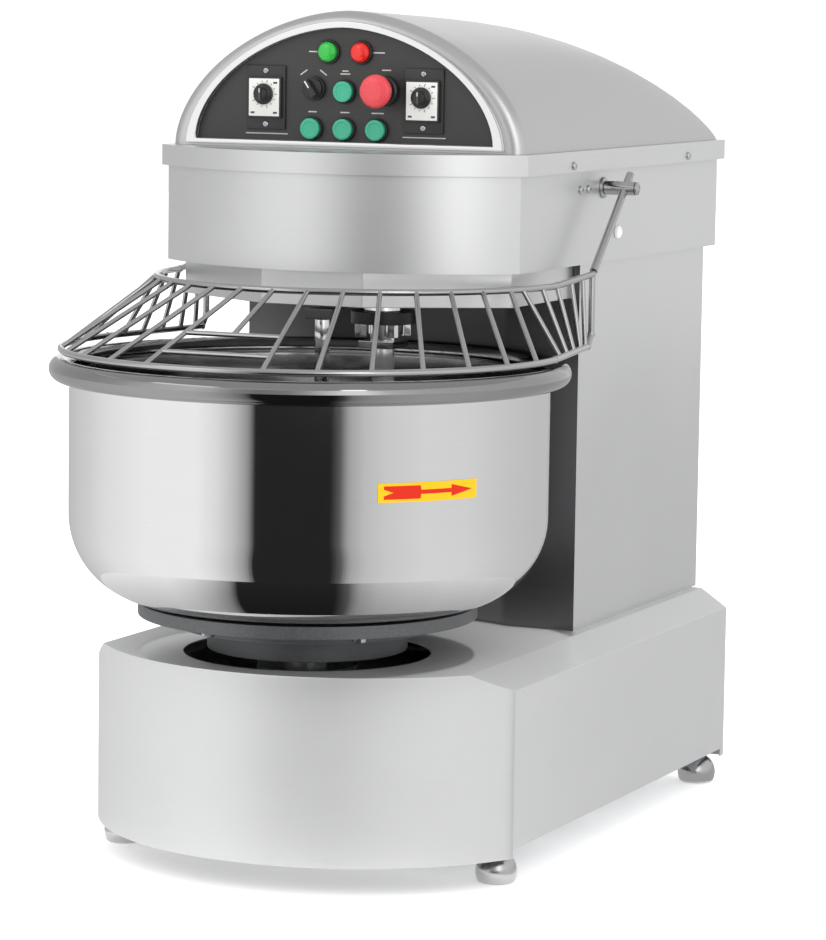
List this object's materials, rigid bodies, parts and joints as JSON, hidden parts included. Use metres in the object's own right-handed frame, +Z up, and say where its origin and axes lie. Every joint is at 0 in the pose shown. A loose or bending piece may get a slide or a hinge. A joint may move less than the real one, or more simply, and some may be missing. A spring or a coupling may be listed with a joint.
{
  "type": "spiral dough mixer",
  "caption": "Floor-standing spiral dough mixer: turning bowl on a chamfered base, rear column, overhanging head with arched control hood, and a tilting wire guard over the bowl.",
  "frame": {"origin": "on the floor, at the middle of the overall footprint", "axes": "+X to the operator's right, +Y from the operator's side to the back (the longest extent), +Z up"},
  "size_m": [0.62, 1.076, 1.0185],
  "materials": {
    "satin_steel": "satin brushed stainless sheet",
    "polished_steel": "polished stainless steel",
    "wire_steel": "bright stainless wire",
    "hood_skin": "satin silver-grey",
    "frame_paint": "grey primer on welded steel",
    "cast_parts": "machined casting",
    "motor_paint": "blue-grey motor enamel",
    "panel_black": "black control panel",
    "control_black": "black moulded controls",
    "button_green": "green button caps",
    "stop_red": "red mushroom head",
    "lens_green": "green lamp lens",
    "lens_red": "red lamp lens",
    "white_plastic": "white moulded plastic",
    "belt_rubber": "drive belt rubber",
    "zinc_screws": "plated screws",
    "label_yellow": "yellow direction label with a red arrow"
  },
  "bodies": {
    "machine": {"base_shell": "satin_steel", "base_frame": "frame_paint", "base_deck": "frame_paint", "bearing_housings": "cast_parts", "column_shell": "satin_steel", "column_frame": "frame_paint", "rear_cover": "satin_steel", "motor": "motor_paint", "motor_plate": "frame_paint", "head_shell": "satin_steel", "head_floor": "frame_paint", "head_skirt": "satin_steel", "breaker_bar": "polished_steel", "hood": "hood_skin", "hood_flange": "satin_steel", "cover_screws": "zinc_screws", "panel_bezel": "polished_steel", "panel_plate": "panel_black", "run_lamp": "lens_green", "power_lamp": "lens_red", "control_bezels": "control_black", "stop_base": "control_black", "selector_base": "control_black", "left_timer": "control_black", "right_timer": "control_black", "contactors": "white_plastic", "cable_gland": "control_black", "side_plugs": "white_plastic", "guard_switch": "control_black", "hinge_brackets": "wire_steel", "drive_belts": "belt_rubber"},
    "guard": {"guard_cage": "wire_steel", "guard_arms": "wire_steel"},
    "bowl": {"bowl": "polished_steel", "bowl_carrier": "cast_parts", "bowl_shaft": "polished_steel", "bowl_pulley": "cast_parts", "carrier_bolts": "zinc_screws", "direction_arrow": "label_yellow"},
    "spiral": {"spiral_hook": "polished_steel", "spiral_shaft": "polished_steel", "spiral_pulley": "cast_parts"},
    "jackshaft": {"jack_shaft": "cast_parts"},
    "countershaft": {"counter_shaft": "cast_parts"},
    "motor_rotor": {"motor_shaft": "cast_parts"},
    "start_button": {"start_button": "button_green"},
    "slow_button": {"slow_button": "button_green"},
    "fast_button": {"fast_button": "button_green"},
    "bowl_button": {"bowl_button": "button_green"},
    "stop_button": {"stop_button": "stop_red"},
    "selector": {"selector_knob": "control_black"},
    "left_timer_dial": {"left_timer_dial": "control_black"},
    "right_timer_dial": {"right_timer_dial": "control_black"},
    "foot_front_left": {"foot_front_left": "polished_steel"},
    "foot_front_right": {"foot_front_right": "polished_steel"},
    "foot_rear_left": {"foot_rear_left": "polished_steel"},
    "foot_rear_right": {"foot_rear_right": "polished_steel"}
  },
  "joints": [
    {"name": "guard_tilt", "type": "hinge", "parent": "machine", "child": "guard", "pos_m": [0, 0.119, 0.805], "axis": [-1, 0, 0], "range_deg": [0, 75]},
    {"name": "bowl_spin", "type": "hinge", "parent": "machine", "child": "bowl", "pos_m": [0, -0.228, 0.3], "axis": [0, 0, 1], "continuous": true},
    {"name": "spiral_spin", "type": "hinge", "parent": "machine", "child": "spiral", "pos_m": [0.03, -0.086, 0.7], "axis": [0, 0, 1], "continuous": true},
    {"name": "jackshaft_spin", "type": "hinge", "parent": "machine", "child": "jackshaft", "pos_m": [0.15, 0.007, 0.15], "axis": [0, 0, 1], "continuous": true},
    {"name": "countershaft_spin", "type": "hinge", "parent": "machine", "child": "countershaft", "pos_m": [0, 0.172, 0.4], "axis": [0, 0, 1], "continuous": true},
    {"name": "motor_spin", "type": "hinge", "parent": "machine", "child": "motor_rotor", "pos_m": [0, 0.372, 0.3], "axis": [0, 0, 1], "continuous": true},
    {"name": "start_press", "type": "slide", "parent": "machine", "child": "start_button", "axis": [0, 1, 0], "range_m": [0, 0.003], "stiffness_N_per_m": 400, "springref_m": -0.002},
    {"name": "slow_press", "type": "slide", "parent": "machine", "child": "slow_button", "axis": [0, 1, 0], "range_m": [0, 0.003], "stiffness_N_per_m": 400, "springref_m": -0.002},
    {"name": "fast_press", "type": "slide", "parent": "machine", "child": "fast_button", "axis": [0, 1, 0], "range_m": [0, 0.003], "stiffness_N_per_m": 400, "springref_m": -0.002},
    {"name": "bowl_press", "type": "slide", "parent": "machine", "child": "bowl_button", "axis": [0, 1, 0], "range_m": [0, 0.003], "stiffness_N_per_m": 400, "springref_m": -0.002},
    {"name": "stop_press", "type": "slide", "parent": "machine", "child": "stop_button", "axis": [0, 1, 0], "range_m": [0, 0.005]},
    {"name": "selector_turn", "type": "hinge", "parent": "machine", "child": "selector", "pos_m": [-0.04, -0.14, 0.925], "axis": [0, -1, 0], "range_deg": [-45, 45]},
    {"name": "left_timer_turn", "type": "hinge", "parent": "machine", "child": "left_timer_dial", "pos_m": [-0.104, -0.14, 0.917], "axis": [0, 1, 0], "range_deg": [0, 300]},
    {"name": "right_timer_turn", "type": "hinge", "parent": "machine", "child": "right_timer_dial", "pos_m": [0.104, -0.14, 0.917], "axis": [0, 1, 0], "range_deg": [0, 300]},
    {"name": "foot_front_left_level", "type": "slide", "parent": "machine", "child": "foot_front_left", "axis": [0, 0, -1], "range_m": [0, 0.012]},
    {"name": "foot_front_right_level", "type": "slide", "parent": "machine", "child": "foot_front_right", "axis": [0, 0, -1], "range_m": [0, 0.012]},
    {"name": "foot_rear_left_level", "type": "slide", "parent": "machine", "child": "foot_rear_left", "axis": [0, 0, -1], "range_m": [0, 0.012]},
    {"name": "foot_rear_right_level", "type": "slide", "parent": "machine", "child": "foot_rear_right", "axis": [0, 0, -1], "range_m": [0, 0.012]}
  ],
  "couplings": [
    {"joint": "jackshaft_spin", "follows": "bowl_spin", "ratio": 5.3333},
    {"joint": "countershaft_spin", "follows": "bowl_spin", "ratio": 15.833},
    {"joint": "motor_spin", "follows": "bowl_spin", "ratio": 34.42},
    {"joint": "spiral_spin", "follows": "bowl_spin", "ratio": 5.6716}
  ]
}
